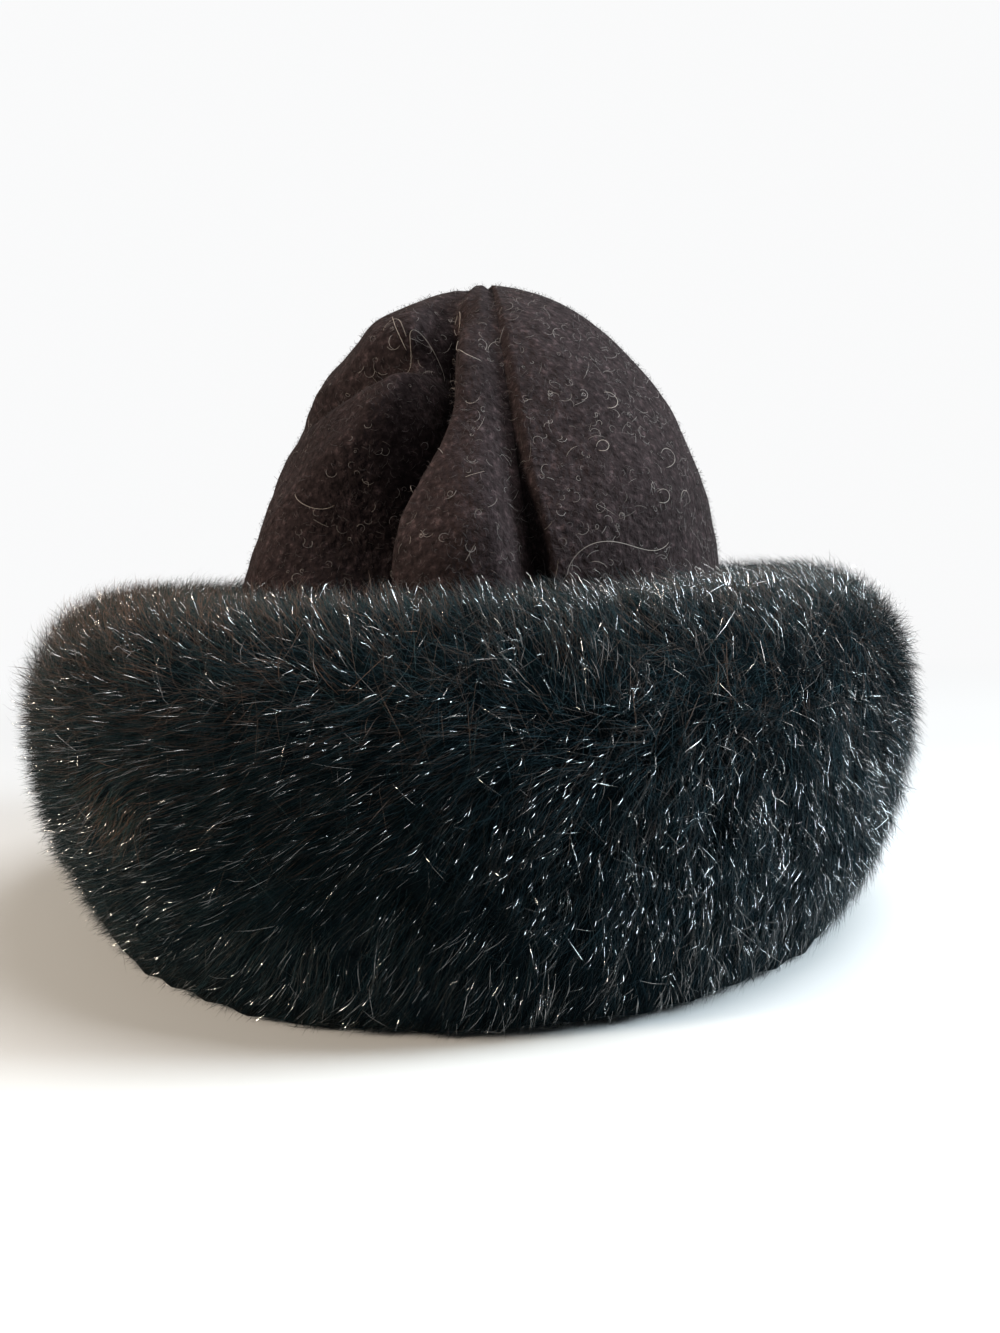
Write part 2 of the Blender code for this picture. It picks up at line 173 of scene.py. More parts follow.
# The nap, at places up the profile from the base (0) to the wool (1): how far it runs round (clockwise from
# above), how far it runs up, how far it stands out as a share of FUR_RELIEF, and the share of strands astray.
NapRow = namedtuple("NapRow", "place round up lift astray")
NAP_ROWS = (
    NapRow(0.00, 0.55, -0.75, 0.50, 0.10),
    NapRow(0.15, 0.65, -0.80, 0.80, 0.12),
    NapRow(0.40, 0.80, -0.60, 1.00, 0.14),
    NapRow(0.56, 0.80, -0.30, 1.06, 0.25),
    NapRow(0.66, 0.70, 0.05, 1.10, 0.50),
    NapRow(0.76, 0.60, 0.35, 1.12, 0.50),
    NapRow(0.90, 0.45, 0.50, 1.00, 0.35),
    NapRow(1.00, 0.45, 0.30, 0.55, 0.20),
)
NAP_SIDE_ROUND = -0.45  # how much more the nap runs round at +X than at the front
NAP_SIDE_UP = 1.0  # how much more it runs up and down there

# Places where the pile is parted. Angles and turn in degrees, places and reaches along the profile.
Parting = namedtuple("Parting", "angle place angle_reach place_reach turn")
PARTINGS = (
    Parting(-38.0, 0.46, 9.0, 0.10, -75.0),
    Parting(-64.0, 0.66, 12.0, 0.12, 60.0),
    Parting(12.0, 0.62, 11.0, 0.12, 70.0),
    Parting(40.0, 0.28, 12.0, 0.10, 60.0),
    Parting(-14.0, 0.22, 12.0, 0.10, -50.0),
    Parting(120.0, 0.50, 14.0, 0.14, 60.0),
    Parting(175.0, 0.40, 14.0, 0.14, -60.0),
    Parting(-130.0, 0.55, 14.0, 0.14, 60.0),
)
DENSE_SHARE = 0.58  # how far out the pile is too dense to see into, as a share of FUR_RELIEF
DEPTH_COLUMNS, DEPTH_ROWS = 240, 37  # points of the dense body, round the cuff and up the profile
TUFT_SPACING = 7 * MM
TUFT_CIRCLE = 2 * math.pi * 140 * MM  # a middling line round the cuff, along which tufts are counted
TUFT_SEED = 5

# How loose the pile lies, at the left and at the right of the cuff.
Sides = namedtuple("Sides", "left right")
TUFT_TURN = Sides(10.0, 24.0)  # degrees that a whole tuft may turn
STRAND_TURN = Sides(10.0, 20.0)  # degrees that a strand in it turns
DRAWN_ROUND = Sides(0.25, 0.60)  # how far tips are drawn to their tuft's middle, round the cuff
ASTRAY_TURN = 70.0  # degrees that a strand turns which goes astray
DRAWN_UP = 0.15  # how far tips are drawn up or down to their tuft's middle
ROOT_RISE = 0.4 * MM  # how far out of the backing's surface a strand starts
STEEPEST = 0.35  # the least way along the backing that a strand takes, as a share of its length
LEAST_OFF_FLOOR, MOST_OFF_FLOOR = 0.3, 2.5  # in mm, where strands would reach the floor
OFF_WOOL = 0.3 * MM  # outside the cuff's inner wall

# The parts of the pile. more_right is how many times closer together the strands are towards +X, less one.
Pile = namedtuple("Pile", "name seed count steps width length more_right look")
PILES = (
    Pile("fur_pile_1", 101, 62000, 3, 0.20 * MM, 16.5 * MM, 0.0, "pile_black"),
    Pile("fur_pile_2", 102, 62000, 3, 0.20 * MM, 16.5 * MM, 0.0, "pile_brown"),
    Pile("fur_pile_3", 103, 62000, 3, 0.20 * MM, 16.5 * MM, 0.0, "pile_black"),
    Pile("fur_guard_hairs", 104, 24000, 5, 0.19 * MM, 13.0 * MM, 3.5, "pile_guard"),
)

# Long soft hairs that stand out of the cuff's upper edge, most of them at its left. Angles in degrees.
WISPS = 2500
WISP_SEED = 31
WISP_STEPS = 5
WISP_WIDTH = 0.19 * MM
WISPS_AT_LEFT = 0.6  # the share of them about WISP_ANGLE
WISP_ANGLE, WISP_ANGLE_SPREAD = -72, 22
WISP_PLACE, WISP_PLACE_SPREAD = 0.68, 0.06
WISP_HEADING, WISP_HEADING_SPREAD = 55, 35

# Loose fibres over the wool: short fuzz everywhere, and longer pale curls that are more at the right. rise is
# how steeply they leave the wool, and curl how far they bend, in radians.
Fuzz = namedtuple("Fuzz", "name seed count steps length rise curl width look at_right")
FUZZES = (
    Fuzz("wool_fuzz", 7, 14000, 4, 2.4 * MM, 0.8, 1.8, 0.13 * MM, "wool_fuzz", False),
    Fuzz("wool_curls", 8, 3600, 8, 4.6 * MM, 0.35, 4.5, 0.12 * MM, "lint", True),
)
FUZZ_LOWEST = 80 * MM  # the wool below is behind the cuff

# Long stray fibres lying on the wool. Angle, heading, bend and wave in degrees, heading 0 up the crown and 90
# towards +X, length and lift in mm.
Stray = namedtuple("Stray", "angle height heading length bend wave lift")
STRAYS = (
    Stray(17.5, 0.528, 5.0, 41.0, 41.0, 80.0, 2.5),
    Stray(-38.5, 0.905, 120.0, 9.0, 30.0, 0.0, 1.0),
    Stray(-29.0, 0.885, 190.0, 16.0, 65.0, 0.0, 1.2),
    Stray(-29.0, 0.885, 75.0, 12.0, -50.0, 0.0, 1.2),
    Stray(-29.0, 0.885, 20.0, 9.0, 170.0, 0.0, 1.0),
    Stray(-30.0, 0.885, -20.0, 9.0, -150.0, 0.0, 1.0),
    Stray(-16.5, 0.933, 40.0, 9.0, 330.0, 0.0, 1.0),
    Stray(-8.5, 0.872, 190.0, 15.0, -110.0, 0.0, 1.5),
    Stray(-15.0, 0.645, -25.0, 7.5, 0.0, 0.0, 3.0),
    Stray(-49.5, 0.656, 150.0, 11.0, -120.0, 0.0, 1.0),
    Stray(26.0, 0.700, 10.0, 9.0, 320.0, 0.0, 1.2),
    Stray(33.0, 0.780, 100.0, 10.0, 200.0, 0.0, 1.2),
    Stray(44.0, 0.690, 30.0, 12.0, 240.0, 40.0, 1.4),
    Stray(50.0, 0.620, -40.0, 11.0, -220.0, 60.0, 1.6),
    Stray(39.0, 0.620, 120.0, 9.0, -260.0, 0.0, 1.2),
)
STRAY_WIDTH = 0.2 * MM
STRAY_STEPS = 24

# How ribbons are made, and where they lie in their map of colours.
TIP_TAPER = 0.45  # the width towards the tip, as a share of the width at the root
ROUNDNESS = math.radians(50)  # how far a flat ribbon's normals lean out, so that it is lit as a round hair
MAP_ROWS = 4  # rows in the map, one above the other
ROW_EDGE = 0.03  # what is left free at a row's lower and upper edge, as a share of it
WIDTH_IN_MAP = 0.004
ONCE_ROUND = 0.9  # how far across the map once round the cuff is, and the rest is random

# How strands look. Colours run from root to tip, and differ from fibre to fibre by spread. Fur also has
# painted
# light by its place on the cuff: paler where the lamps fall on it, darker where little light reaches.
StrandLook = namedtuple("StrandLook", "root tip spread roughness gloss tint ior fur")
WHITE = (1.0, 1.0, 1.0)
BLUE = (0.42, 0.84, 1.0)
STRAND_LOOKS = {
    "pile_black": StrandLook(
        (0.0006, 0.0018, 0.0026), (0.0022, 0.0056, 0.0074), 0.3, 0.45, 0.07, BLUE, 1.5, True
    ),
    "pile_brown": StrandLook(
        (0.0014, 0.0016, 0.0017), (0.0100, 0.0092, 0.0086), 0.5, 0.40, 0.09, WHITE, 1.5, True
    ),
    "pile_guard": StrandLook(
        (0.0010, 0.0013, 0.0015), (0.0090, 0.0092, 0.0092), 0.6, 0.12, 1.0, WHITE, 2.3, True
    ),
    "wool_fuzz": StrandLook(
        (0.016, 0.0125, 0.0125), (0.044, 0.036, 0.036), 0.5, 0.8, 0.2, WHITE, 1.5, False
    ),
    "lint": StrandLook((0.09, 0.08, 0.075), (0.16, 0.14, 0.13), 0.5, 0.8, 0.3, WHITE, 1.5, False),
    "stray_fibres": StrandLook((0.10, 0.085, 0.075), (0.26, 0.22, 0.19), 0.3, 0.6, 0.4, WHITE, 1.5, False),
}
# Painted light: what the fur's colour is multiplied by in each row of the map, from the base of the cuff to
# the wool, darker low on the cuff, where little light reaches, and paler and warmer at its upper edge, where
# the overhead lamp falls.
FUR_ROW_PAINTED_LIGHT = ((0.55, 0.75, 0.80), (0.45, 0.65, 0.70), (2.1, 1.8, 1.7), (4.4, 3.2, 2.6))
# Painted light across the map, where 0 to ONCE_ROUND goes once round: paler at +X, where the window lamp
# falls, and paler and browner at the front left, where the warm left lamp falls.
FUR_ROUND_PAINTED_LIGHT = (
    (0.06, (1.0, 1.0, 1.0)),
    (0.18, (2.5, 2.5, 2.5)),
    (0.32, (2.5, 2.5, 2.5)),
    (0.46, (1.0, 1.0, 1.0)),
    (0.66, (1.2, 1.1, 1.0)),
    (0.76, (2.1, 1.7, 1.4)),
    (0.88, (2.0, 1.7, 1.5)),
    (0.96, (1.0, 1.0, 1.0)),
)

# The stage.
BACKGROUND = (0.955, 0.958, 0.962, 1.0)
FLOOR_COLOUR = (0.44, 0.44, 0.44, 1.0)
FLOOR_HALF_SIZE = 8.0
FLOOR_FADE = ((0.18, 0.0), (0.40, 0.75), (0.85, 1.0))  # metres from the middle, share of BACKGROUND there
SKY_LIGHT, SKY_STRENGTH = (0.84, 0.95, 1.0, 1.0), 0.16
Lamp = namedtuple("Lamp", "name place aim width height power colour")
LAMPS = (
    Lamp("window", (1.08, -0.18, 0.56), (0.0, 0.0, 0.08), 0.40, 0.5, 38.0, (0.80, 0.93, 1.0)),
    Lamp("left", (-1.06, -0.52, 0.48), (0.0, 0.0, 0.08), 0.25, 0.25, 28.0, (1.0, 0.86, 0.70)),
    Lamp("overhead", (0.45, -0.20, 1.2), (0.0, 0.0, 0.1), 0.6, 0.6, 20.0, (1.0, 1.0, 1.0)),
)

# The camera, fitted to the photograph's outline.
CAMERA_PLACE = Vector((0.0099, -0.42, 0.122))
CAMERA_DOWN = math.radians(5.8)
CAMERA_ROLL = math.radians(-2.1)
CAMERA_SENSOR = 36.0
CAMERA_LENS = 31.5
CAMERA_NEAREST = 0.01


def smooth(x):
    """0 up to x = 0, 1 from x = 1 on, with no kink between."""
    x = np.clip(x, 0.0, 1.0)
    return x * x * (3 - 2 * x)


def spline(keys, values, at):
    """A table's column read at an array of keys, on a curve that passes every row without overshooting it."""
    keys, values, at = np.asarray(keys, float), np.asarray(values, float), np.clip(at, keys[0], keys[-1])
    i = np.clip(np.searchsorted(keys, at, side="right") - 1, 0, len(keys) - 2)
    steps = np.diff(values) / np.diff(keys)
    product, total = steps[:-1] * steps[1:], steps[:-1] + steps[1:]
    slopes = np.concatenate(
        (steps[:1], np.where(product > 0, 2 * product / np.where(product > 0, total, 1), 0), steps[-1:])
    )
    span = keys[i + 1] - keys[i]
    t = (at - keys[i]) / span
    return (
        values[i] * (1 + 2 * t) * (1 - t) ** 2
        + values[i + 1] * t * t * (3 - 2 * t)
        + span * slopes[i] * t * (1 - t) ** 2
        - span * slopes[i + 1] * t * t * (1 - t)
    )


def column(rows, name):
    """One column of a table."""
    return [getattr(row, name) for row in rows]


def section_at(name, place):
    """A column of CROWN_SECTIONS at places that count its rows."""
    return spline(range(len(CROWN_SECTIONS)), column(CROWN_SECTIONS, name), place)


def seam_at(name, height):
    return spline(column(SEAM_ROWS, "height"), column(SEAM_ROWS, name), height)


def dent_at(name, height):
    return spline(column(DENT_ROWS, "height"), column(DENT_ROWS, name), height)


def unit(v):
    """Vectors made one long."""
    return v / np.maximum(np.linalg.norm(v, axis=-1, keepdims=True), 1e-12)


def plain_crown(angle, place):
    """The outside of the crown before any fold is pressed in."""
    turn = np.radians(angle)
    return np.stack(
        np.broadcast_arrays(
            CROWN_LEAN * section_at("lean", place)
            + CROWN_HALF_WIDTH * section_at("width", place) * np.sin(turn),
            -CROWN_HALF_DEPTH * section_at("depth", place) * np.cos(turn),
            BAND_RISE + CROWN_HEIGHT * section_at("height", place),
        ),
        axis=-1,
    )


def crown_normal(angle, place):
    """The way out of the plain crown."""
    top = len(CROWN_SECTIONS) - 1
    round_it = plain_crown(angle + 1, place) - plain_crown(angle - 1, place)
    above, below = np.minimum(top, place + 0.02), np.maximum(0, place - 0.02)
    up_it = plain_crown(angle, above) - plain_crown(angle, below)
    return np.where((place > top - 0.05)[..., None], UP, unit(np.cross(round_it, up_it)))


def angle_from(angle, other):
    """The signed difference between two angles, from -180 to 180 degrees."""
    return (angle - other + 180) % 360 - 180


def seam_fold(angle, height):
    """How far the seams draw the wool in."""
    drawn = np.zeros(np.broadcast(angle, height).shape)
    for name, fold in SEAM_REACH.items():
        off = angle_from(angle, seam_at(name, height))
        reach = np.where(off < 0, fold.before, fold.after)
        drawn = np.maximum(drawn, fold.share * (1 - smooth(np.abs(off) / reach)))
    return SEAM_DEPTH * seam_at("depth", height) * drawn


def dent_fold(angle, height):
    """How far the deep fold is pressed in."""
    behind = dent_at("edge", height) + DENT_ROLL_ANGLE - angle_from(angle, 0)
    wall = DENT_WALL_ANGLE + DENT_ROLL_ANGLE
    pressed = smooth(behind / wall) * (1 - smooth((behind - wall) / dent_at("reach", height)))
    return DENT_DEPTH * dent_at("depth", height) * pressed


def crease_fold(angle, height):
    """How far the slanting crease is pressed in."""
    off = angle_from(angle, 0)
    angles = column(CREASE_ROWS, "angle")
    above = height - spline(angles, column(CREASE_ROWS, "height"), off)
    reach = np.where(above > 0, CREASE_REACH_UP, CREASE_REACH_DOWN)
    pressed = spline(angles, column(CREASE_ROWS, "depth"), off) * (1 - smooth(np.abs(above) / reach))
    return CREASE_DEPTH * pressed * ((off > angles[0]) & (off < angles[-1]))


def bulge_rise(angle, height):
    """How far the soft lobes stand out."""
    rise = 0.0
    for bulge in BULGES:
        across = np.abs(angle_from(angle, bulge.angle)) / bulge.angle_reach
        along = np.abs(height - bulge.height) / bulge.height_reach
        rise = rise + bulge.amount * (1 - smooth(across)) * (1 - smooth(along))
    return BULGE_HEIGHT * rise


def wobble(point):
    """Soft, uneven swelling of the wool, as a sum of slow waves."""
    x, y, z = point[..., 0] / 0.01, point[..., 1] / 0.01, point[..., 2] / 0.01
    waves = np.sin(1.7 * x + 0.9 * z + 1.3 * np.sin(1.1 * y))
    waves = waves + np.sin(1.3 * y - 1.9 * z + 1.7 * np.sin(0.8 * x))
    waves = waves + 0.6 * np.sin(3.1 * x - 2.3 * y + 2.7 * z)
    waves = waves + 0.5 * np.sin(2.9 * z + 3.7 * y + 1.1 * np.sin(2 * x))
    return WOBBLE * waves / 3


def crown_point(angle, place):
    """The outside of the finished crown."""
    height = section_at("height", place)
    out = bulge_rise(angle, height) - np.maximum(seam_fold(angle, height), dent_fold(angle, height))
    out = out - crease_fold(angle, height)
    plain = plain_crown(angle, place)
    return plain + crown_normal(angle, place) * (out + wobble(plain))[..., None]


FINE_PLACES = np.linspace(0, len(CROWN_SECTIONS) - 1, 600)
FINE_HEIGHTS = BAND_RISE + CROWN_HEIGHT * section_at("height", FINE_PLACES)


def wool_wall(angle, z):
    """The cuff's inner wall at a height: the plain crown's outside, moved out by the gap."""
    place = np.interp(z, FINE_HEIGHTS, FINE_PLACES)
    turn = np.radians(angle)
    out_x, out_y = np.sin(turn) / CROWN_HALF_WIDTH, -np.cos(turn) / CROWN_HALF_DEPTH
    gap = CUFF_GAP / np.hypot(out_x, out_y)
    point = plain_crown(angle, place)
    point[..., 0] += out_x * gap
    point[..., 1] += out_y * gap
    point[..., 2] = z
    return point


def backing_point(angle, row_height, reach, side):
    """A point of the cuff's backing, from the wool at reach 0 to its outermost line at reach 1."""
    angle, row_height, reach, side = np.broadcast_arrays(angle, row_height, reach, side)
    turn = np.radians(angle)
    z = (CUFF_HEIGHT - FUR_RELIEF) * row_height
    inner = wool_wall(angle, z)
    out_x = (CUFF_HALF_WIDTH - FUR_RELIEF) * np.sin(turn)
    out_y = -(CUFF_HALF_DEPTH - FUR_RELIEF) * np.cos(turn)
    outer = np.stack((out_x, out_y, z), axis=-1)
    return inner + (outer - inner) * (reach + (side - reach) * np.sin(turn) ** 2)[..., None]


def profile_lengths():
    """How far up the profile each of CUFF_ROWS is, from 0 at the base to 1 at the wool."""
    points = np.array([backing_point(np.array(0.0), *row) for row in CUFF_ROWS])
    along = np.concatenate(([0.0], np.cumsum(np.linalg.norm(np.diff(points, axis=0), axis=1))))
    return along / along[-1]


PROFILE = profile_lengths()


def cuff_point(angle, place):
    """The backing's outer surface, at a place from 0 at the base to 1 at the wool."""
    row = [spline(PROFILE, column(CUFF_ROWS, name), place) for name in CuffRow._fields]
    return backing_point(angle, *row)


def cuff_normal(angle, place):
    """The way out of the backing."""
    low, high = np.clip(place - 0.02, 0, 1), np.clip(place + 0.02, 0, 1)
    up_it = cuff_point(angle, high) - cuff_point(angle, low)
    round_it = cuff_point(angle + 0.5, place) - cuff_point(angle - 0.5, place)
    return unit(np.cross(round_it, up_it))


def link(mesh, name, material):
    """A smooth-shaded object for a mesh."""
    piece = bpy.data.objects.new(name, mesh)
    bpy.context.scene.collection.objects.link(piece)
    mesh.shade_smooth()
    mesh.materials.append(material)
    return piece


def mesh_from(name, points, faces):
    """A mesh from an array of points and a list of faces."""
    mesh = bpy.data.meshes.new(name)
    mesh.from_pydata(points.tolist(), [], faces)
    mesh.update()
    return mesh


def grid_faces(rows, columns, closed):
    """Quads of a grid of points, with its columns joined end to end where it is closed."""
    across = np.arange(columns if closed else columns - 1)
    after = (across + 1) % columns
    start = np.arange(rows - 1)[:, None] * columns
    low, high = (start + across, start + after), (start + columns + after, start + columns + across)
    return np.stack(low + high, axis=-1).reshape(-1, 4)


def make_ribbons(name, paths, widths, faces_out, material, spots):
    """Many thin tapered ribbons as one mesh.

    paths: (strand, point, xyz). widths: one for each strand.
    faces_out: the way each strand's flat side looks.
    spots: (strand, 2), a place from 0 to 1 across the map of colours, and a row up the map, out of MAP_ROWS.
    """
    count, steps = paths.shape[:2]
    tangent = unit(np.gradient(paths, axis=1))
    across = unit(np.cross(tangent, faces_out[:, None, :]))
    normal = unit(np.cross(across, tangent))
    taper = np.linspace(1.0, TIP_TAPER, steps)[None, :, None]
    half = across * widths[:, None, None] / 2 * taper
    pairs = np.stack((paths[:, :-1] - half[:, :-1], paths[:, :-1] + half[:, :-1]), axis=2)
    points = np.concatenate((pairs.reshape(count, -1, 3), paths[:, -1:]), axis=1)
    leaning = across * math.sin(ROUNDNESS)
    upright = normal * math.cos(ROUNDNESS)
    pairs = np.stack(((upright - leaning)[:, :-1], (upright + leaning)[:, :-1]), axis=2)
    normals = np.concatenate((pairs.reshape(count, -1, 3), normal[:, -1:]), axis=1)
    per = 2 * (steps - 1) + 1
    triangles = []
    for a in range(0, per - 3, 2):
        triangles += [(a, a + 1, a + 3), (a, a + 3, a + 2)]
    triangles.append((per - 3, per - 2, per - 1))
    faces = (np.arange(count) * per)[:, None, None] + np.array(triangles)[None]
    faces = faces.reshape(-1, 3)

    mesh = bpy.data.meshes.new(name)
    mesh.vertices.add(count * per)
    mesh.vertices.foreach_set("co", points.reshape(-1).astype(np.float32))
    mesh.loops.add(faces.size)
    mesh.loops.foreach_set("vertex_index", faces.reshape(-1).astype(np.int32))
    mesh.polygons.add(len(faces))
    mesh.polygons.foreach_set("loop_start", np.arange(0, faces.size, 3, dtype=np.int32))
    mesh.update(calc_edges=True)
    sides = np.tile(np.array((-0.5, 0.5)), steps - 1)
    u = np.concatenate((sides, [0.0]))[None, :] * WIDTH_IN_MAP + spots[:, 0:1]
    v = np.concatenate((np.repeat(np.arange(steps - 1) / (steps - 1), 2), [1.0]))
    v = (spots[:, 1:2] + ROW_EDGE + (1 - 2 * ROW_EDGE) * v[None, :]) / MAP_ROWS
    uv = np.stack((np.clip(u, 0, 1), v), axis=-1).reshape(-1, 2)[faces.reshape(-1)]
    layer = mesh.uv_layers.new(name="OFBake")
    layer.data.foreach_set("uv", uv.reshape(-1).astype(np.float32))
    piece = link(mesh, name, material)
    mesh.normals_split_custom_set_from_vertices(normals.reshape(-1, 3).astype(np.float32))
    return piece


# Materials

class Nodes:
    """Short words for building a material's nodes."""

    def __init__(self, name):
        self.material = bpy.data.materials.new(name)
        self.material.use_nodes = True
        self.tree = self.material.node_tree
        self.shader = self.tree.nodes["Principled BSDF"]

    def add(self, kind, **inputs):
        """A node with some of its inputs set. An input may be a number, a colour or another node's output."""
        node = self.tree.nodes.new(kind)
        for name, value in inputs.items():
            self.put(node.inputs[name.replace("_", " ")], value)
        return node

    def put(self, socket, value):
        if isinstance(value, bpy.types.NodeSocket):
            self.tree.links.new(value, socket)
        else:
            socket.default_value = value

    def noise(self, vector, scale, detail, roughness):
        inputs = {"Vector": vector, "Scale": scale, "Detail": detail, "Roughness": roughness}
        return self.add("ShaderNodeTexNoise", **inputs).outputs[0]

    def multiply(self, first, second):
        """Two colours multiplied."""
        node = self.tree.nodes.new("ShaderNodeMix")
        node.data_type, node.blend_type = "RGBA", "MULTIPLY"
        for socket, value in ((0, 1.0), (6, first), (7, second)):
            self.put(node.inputs[socket], value)
        return node.outputs[2]

    def math(self, operation, *values):
        """A sum on one or two numbers."""
        node = self.tree.nodes.new("ShaderNodeMath")
        node.operation = operation
        for socket, value in zip(node.inputs, values):
            self.put(socket, value)
        return node.outputs[0]

    def ramp(self, value, *stops):
        """Colours at places from 0 to 1 along a value."""
        node = self.add("ShaderNodeValToRGB", Fac=value)
        points = node.color_ramp.elements
        while len(points) < len(stops):
            points.new(0.5)
        for point, (place, colour) in zip(points, stops):
            point.position = place
            point.color = (*colour, 1.0)
        return node.outputs[0]

    def bump(self, height, distance, strength, normal=None):
        node = self.add("ShaderNodeBump", Height=height, Distance=distance, Strength=strength)
        if normal is not None:
            self.put(node.inputs["Normal"], normal)
        return node.outputs[0]


def grey(value):
    return (value, value, value)


def wool_material():
    """Boiled wool: dark brown-black, matt, pebbled and felted, with paler fibres in it."""
    n = Nodes("boiled_wool")
    place = n.add("ShaderNodeTexCoord").outputs["Object"]
    slow = n.noise(place, 28.0, 3.0, 0.55)
    fine = n.noise(place, 420.0, 4.0, 0.62)
    base = n.ramp(slow, (0.30, (0.0094, 0.0060, 0.0062)), (0.72, (0.0150, 0.0099, 0.0102)))
    fibres = n.ramp(fine, (0.35, grey(0.5)), (0.58, grey(1.1)), (0.74, grey(3.2)))
    n.put(n.shader.inputs["Base Color"], n.multiply(base, fibres))
    n.put(n.shader.inputs["Roughness"], n.ramp(fine, (0.3, grey(0.95)), (0.8, grey(0.72))))
    n.put(n.shader.inputs["Sheen Weight"], 0.02)
    n.put(n.shader.inputs["Sheen Roughness"], 0.6)
    n.put(n.shader.inputs["Sheen Tint"], (0.55, 0.46, 0.44, 1.0))
    n.put(n.shader.inputs["Specular IOR Level"], 0.05)
    lumps = n.bump(n.noise(place, 170.0, 2.0, 0.5), 1.8 * MM, 0.8)
    pebbles = n.bump(n.noise(place, 520.0, 2.0, 0.5), 0.9 * MM, 0.9, lumps)
    n.put(n.shader.inputs["Normal"], n.bump(n.noise(place, 1700.0, 3.0, 0.6), 0.25 * MM, 0.8, pebbles))
    return n.material


def strand_material(name):
    """Fibres of one of STRAND_LOOKS."""
    look = STRAND_LOOKS[name]
    n = Nodes(name)
    split = n.add("ShaderNodeSeparateXYZ", Vector=n.add("ShaderNodeTexCoord").outputs["UV"])
    across, up = split.outputs["X"], split.outputs["Y"]
    share = n.math("FRACT", n.math("MULTIPLY", up, float(MAP_ROWS)))
    middle = tuple((a + b) / 2 for a, b in zip(look.root, look.tip))
    along = n.ramp(share, (0.0, look.root), (0.45, middle), (1.0, look.tip))
    fibre = n.add("ShaderNodeTexNoise", Scale=260.0, Detail=2.0)
    fibre.noise_dimensions = "1D"
    n.put(fibre.inputs["W"], across)
    darker, paler = grey(1 - look.spread), grey(1 + 2 * look.spread)
    varied = n.ramp(fibre.outputs[0], (0.32, darker), (0.5, grey(1.0)), (0.72, paler))
    colour = n.multiply(along, varied)
    if look.fur:
        # Painted light: the fur is darker low on the cuff and paler at its upper edge, where the lamps fall.
        painted_rows = n.ramp(up, *((row / MAP_ROWS, tint) for row, tint in enumerate(FUR_ROW_PAINTED_LIGHT)))
        painted_rows.node.color_ramp.interpolation = "CONSTANT"
        # Painted light round the cuff: paler at +X and at the front left, where the lamps fall.
        colour = n.multiply(n.multiply(colour, painted_rows), n.ramp(across, *FUR_ROUND_PAINTED_LIGHT))
    n.put(n.shader.inputs["Base Color"], colour)
    n.put(n.shader.inputs["Roughness"], look.roughness)
    n.put(n.shader.inputs["Specular IOR Level"], look.gloss)
    n.put(n.shader.inputs["Specular Tint"], (*look.tint, 1.0))
    n.put(n.shader.inputs["IOR"], look.ior)
    return n.material


def backing_material():
    """The dark depth of the pile, seen only between the strands."""
    n = Nodes("fur_depth")
    place = n.add("ShaderNodeTexCoord").outputs["Object"]
    shade = n.noise(place, 90.0, 4.0, 0.6)
    colour = n.ramp(shade, (0.3, (0.0004, 0.0013, 0.0019)), (0.8, (0.0014, 0.0038, 0.0050)))
    n.put(n.shader.inputs["Base Color"], colour)
    n.put(n.shader.inputs["Roughness"], 0.9)
    n.put(n.shader.inputs["Specular IOR Level"], 0.02)
    n.put(n.shader.inputs["Normal"], n.bump(n.noise(place, 300.0, 3.0, 0.6), 1.5 * MM, 0.8))
    return n.material


# Pieces

def make_gore(name, first, second, material):
    """One gore of wool, as fine as its folds need, thickened inwards."""
    sections = len(CROWN_SECTIONS) - 1
    places = np.arange(sections * GORE_ROWS_PER_SECTION) / GORE_ROWS_PER_SECTION
    heights = section_at("height", places)
    start = seam_at(first, heights)
    width = angle_from(seam_at(second, heights), start) % 360
    even = np.linspace(0, 1, GORE_COLUMNS + 1)
    shares = 0.3 * even + 0.35 * (1 - np.cos(math.pi * even))  # closer together at the seams
    angles = start[:, None] + width[:, None] * shares
    points = crown_point(angles, places[:, None] + 0 * angles)
    top = crown_point(np.array([SEAM_ROWS[-1].front]), np.array([float(sections)]))
    count = len(places) * (GORE_COLUMNS + 1)
    quads = grid_faces(len(places), GORE_COLUMNS + 1, closed=False).tolist()
    last = count - GORE_COLUMNS - 1
    quads += [(last + k, last + k + 1, count) for k in range(GORE_COLUMNS)]
    piece = link(mesh_from(name, np.concatenate((points.reshape(-1, 3), top)), quads), name, material)
    wall = piece.modifiers.new("wool", "SOLIDIFY")
    wall.thickness = WOOL_THICKNESS
    wall.offset = -1
    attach(piece, "root")
    return piece, points


def make_fur_depth(material):
    """The body under the strands: the backing, swollen by the dense foot of the pile."""
    angles = np.linspace(0, 360, DEPTH_COLUMNS + 1)[:-1]
    places = np.linspace(0, 1, DEPTH_ROWS)
    angle, place = np.broadcast_arrays(angles[None, :], places[:, None])
    swell = FUR_RELIEF * DENSE_SHARE * smooth(place / 0.06) * smooth((1 - place) / 0.2)
    outer = cuff_point(angle, place)
    bumps = 1 + 0.15 * np.sin(angle * 0.55 + 9 * place) * np.sin(angle * 0.31 - 14 * place)
    outer = outer + cuff_normal(angle, place) * (swell * bumps)[..., None]
    outer[..., 2] = np.maximum(outer[..., 2], 0.0)
    wall = backing_point(angles[None, :], np.array(CUFF_WALL_HEIGHTS)[:, None], 0.0, 0.0)
    rows = np.concatenate((outer, wall, outer[:1]))
    count = len(angles)
    faces = grid_faces(len(rows), count, closed=True)
    faces[faces >= (len(rows) - 1) * count] -= (len(rows) - 1) * count
    mesh = mesh_from("fur_depth", rows[:-1].reshape(-1, 3), faces.tolist())
    piece = link(mesh, "fur_depth", material)
    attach(piece, "root")
    return piece


